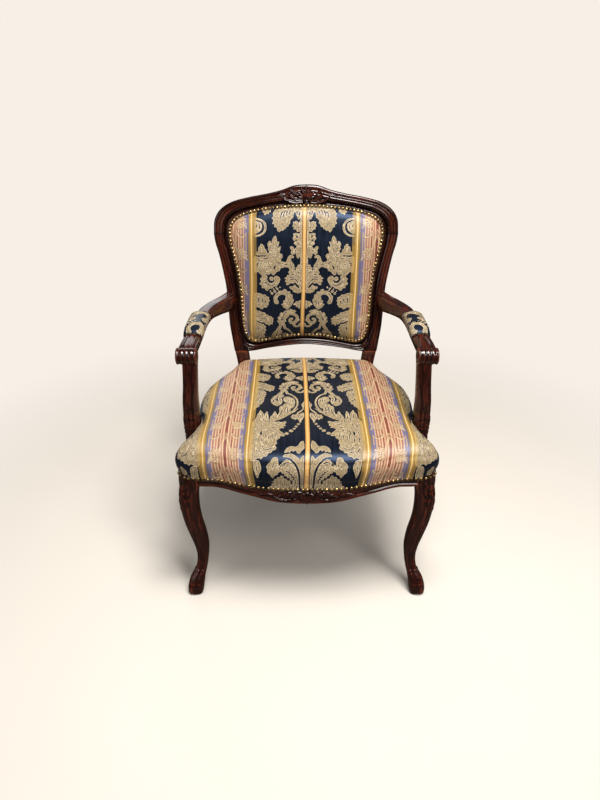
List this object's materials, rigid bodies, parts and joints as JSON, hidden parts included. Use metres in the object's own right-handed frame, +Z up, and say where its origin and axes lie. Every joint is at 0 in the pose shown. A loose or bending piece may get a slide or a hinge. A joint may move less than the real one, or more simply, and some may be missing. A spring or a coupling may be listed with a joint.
{
  "type": "fauteuil armchair",
  "caption": "Open armchair with a carved, moulded hardwood frame, cabriole legs, scrolled arms with padded elbow rests, a stuffed serpentine seat and an upholstered, nailed back panel.",
  "frame": {"origin": "middle of the footprint's bounding box, on the floor", "axes": "+Z up, the longest extent; +X towards the sitter's left; +Y towards the back, so the chair faces -Y"},
  "size_m": [0.6526, 0.6704, 0.98],
  "materials": {
    "wood": "dark red-brown mahogany stain under a glossy polish",
    "beech": "plain unpolished beech, hidden in the frame",
    "webbing": "woven jute webbing",
    "hessian": "plain woven jute cloth",
    "stuffing": "stitched fibre stuffing under wadding",
    "damask": "woven striped damask, gold leaf motifs on navy between gold and rose stripes",
    "black_cloth": "thin matt black lining cloth",
    "nail_brass": "antiqued domed brass nail heads"
  },
  "bodies": {
    "root": {"front_rail": "wood", "rear_rail": "wood", "crest_rail": "wood", "back_lower_rail": "wood", "front_leg_right": "wood", "front_leg_left": "wood", "rear_post_right": "wood", "rear_post_left": "wood", "side_rail_right": "wood", "side_rail_left": "wood", "arm_right": "wood", "arm_left": "wood", "arm_support_right": "wood", "arm_support_left": "wood", "frame_dowels": "beech", "corner_braces": "beech", "seat_webbing_long": "webbing", "seat_webbing_cross": "webbing", "back_webbing_long": "webbing", "back_webbing_cross": "webbing", "seat_hessian": "hessian", "back_hessian": "hessian", "seat_stuffing": "stuffing", "back_stuffing": "stuffing", "arm_pad_right": "stuffing", "arm_pad_left": "stuffing", "seat_cover": "damask", "back_cover": "damask", "outside_back_cover": "damask", "arm_cover_right": "damask", "arm_cover_left": "damask", "dust_cover": "black_cloth", "seat_nails": "nail_brass", "back_nails": "nail_brass"}
  },
  "joints": []
}
